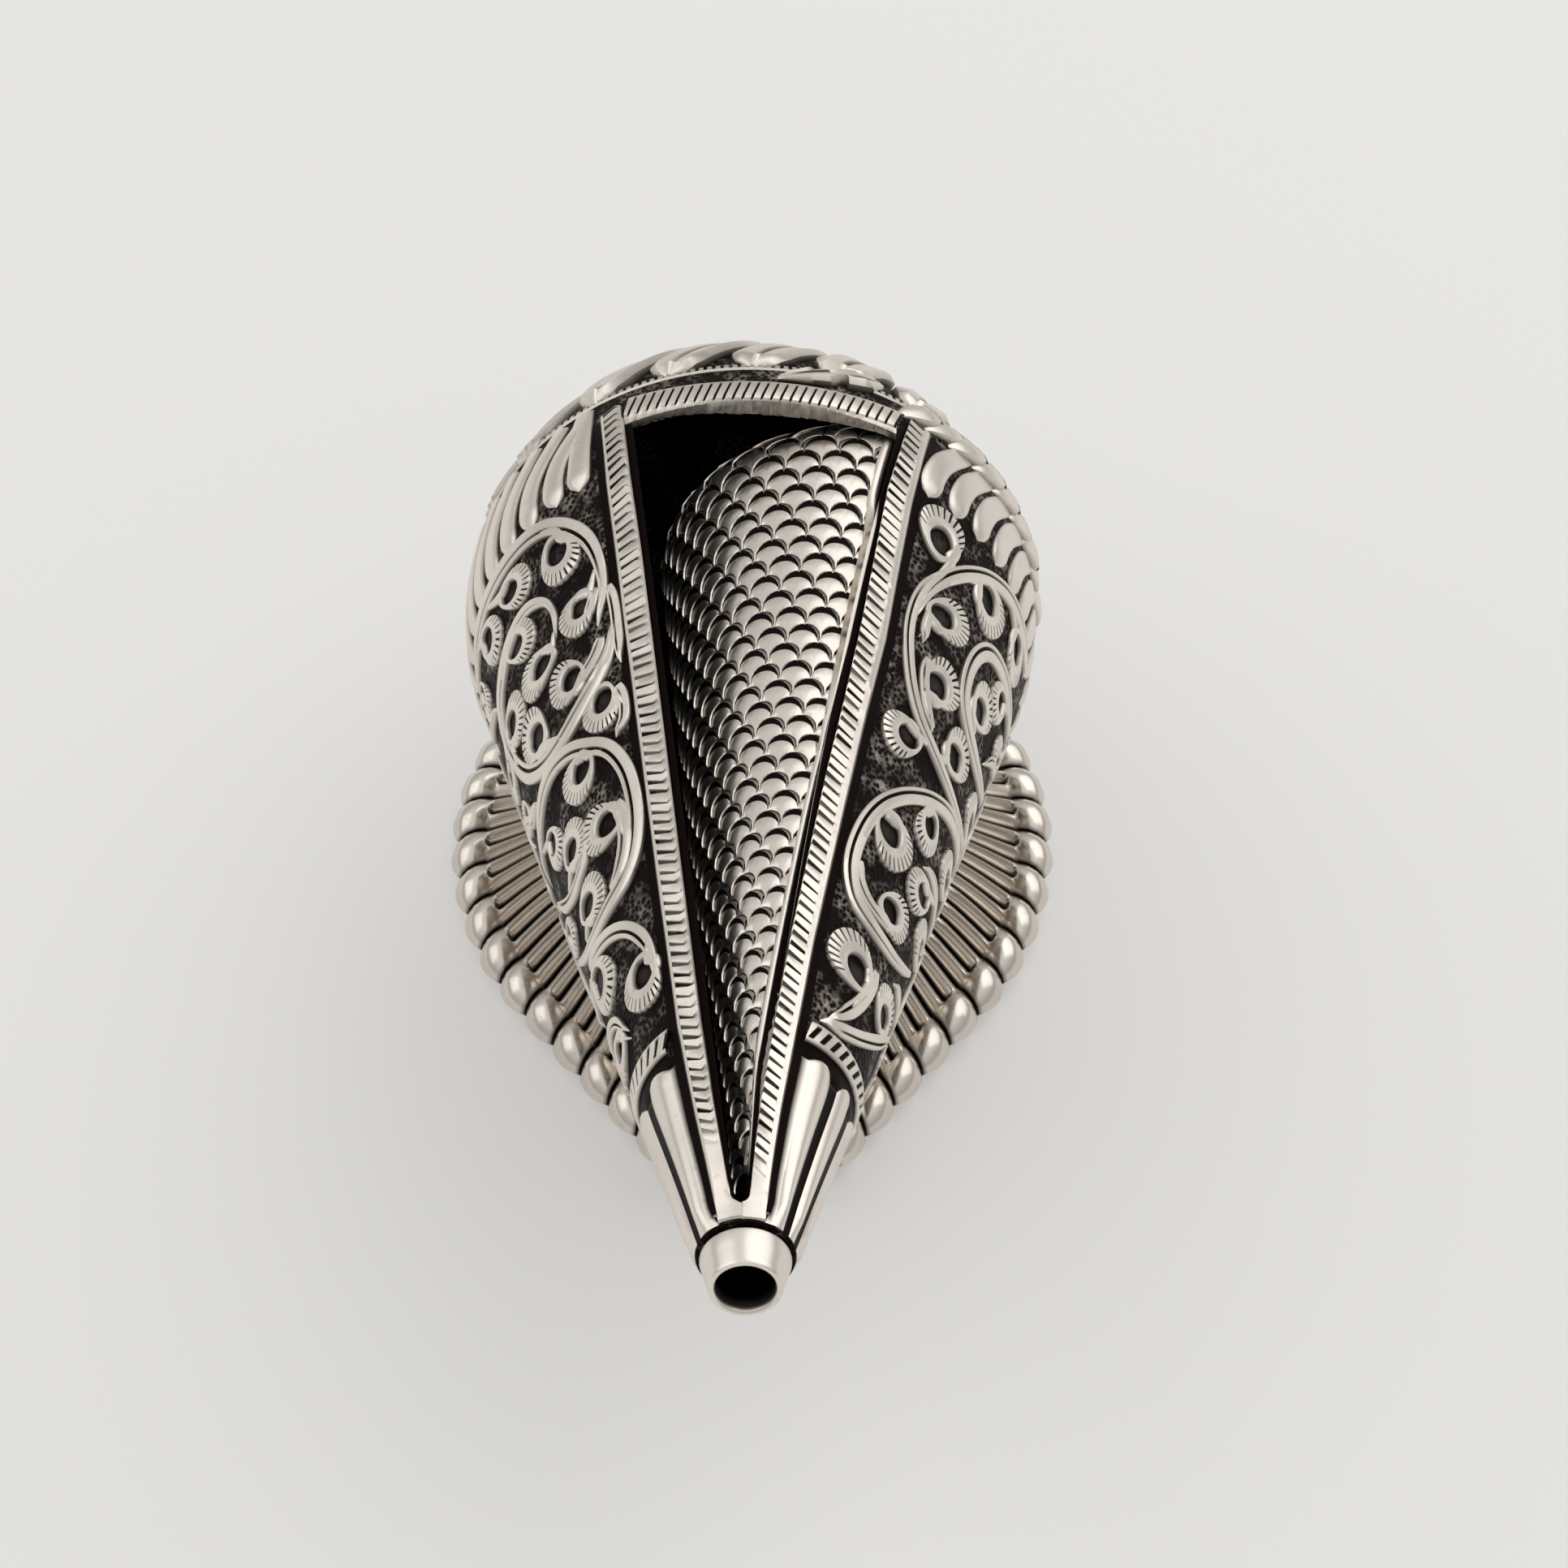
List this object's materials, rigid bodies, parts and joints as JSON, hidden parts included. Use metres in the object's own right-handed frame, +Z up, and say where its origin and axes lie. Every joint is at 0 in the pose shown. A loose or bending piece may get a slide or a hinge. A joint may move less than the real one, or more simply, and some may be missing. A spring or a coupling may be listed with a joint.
{
  "type": "conch vessel on a stand",
  "caption": "Hollow pouring conch of chased, oxidised silver with a long mouth, a scaled inner whorl and a plain spout, resting on a fluted teardrop stand.",
  "frame": {"origin": "under the middle of the whole thing, on the surface that the stand rests on", "axes": "+Z up, spout towards -Y, +X to the right as seen from the spout's end with the mouth up"},
  "size_m": [0.072, 0.1512, 0.0744],
  "materials": {
    "polished_silver": "polished",
    "chased_silver": "chased and polished",
    "oxidised_silver": "polished relief on a blackened, stippled ground"
  },
  "bodies": {
    "stand": {"stand_base_ring": "polished_silver", "stand_skirt": "polished_silver", "stand_seat": "polished_silver"},
    "conch": {"shell_wall": "oxidised_silver", "spout_sleeve": "polished_silver", "spout_collar": "polished_silver", "spout_ferrule": "polished_silver", "lip_left": "polished_silver", "lip_right": "polished_silver", "lip_top": "polished_silver", "columella": "chased_silver", "shoulder_band": "polished_silver", "spire_whorl_1": "oxidised_silver", "spire_whorl_2": "oxidised_silver", "spire_whorl_3": "oxidised_silver", "spire_knob": "polished_silver"}
  },
  "joints": [
    {"name": "conch_lift", "type": "slide", "parent": "stand", "child": "conch", "axis": [0, 0, 1], "range_m": [0, 0.06]}
  ]
}
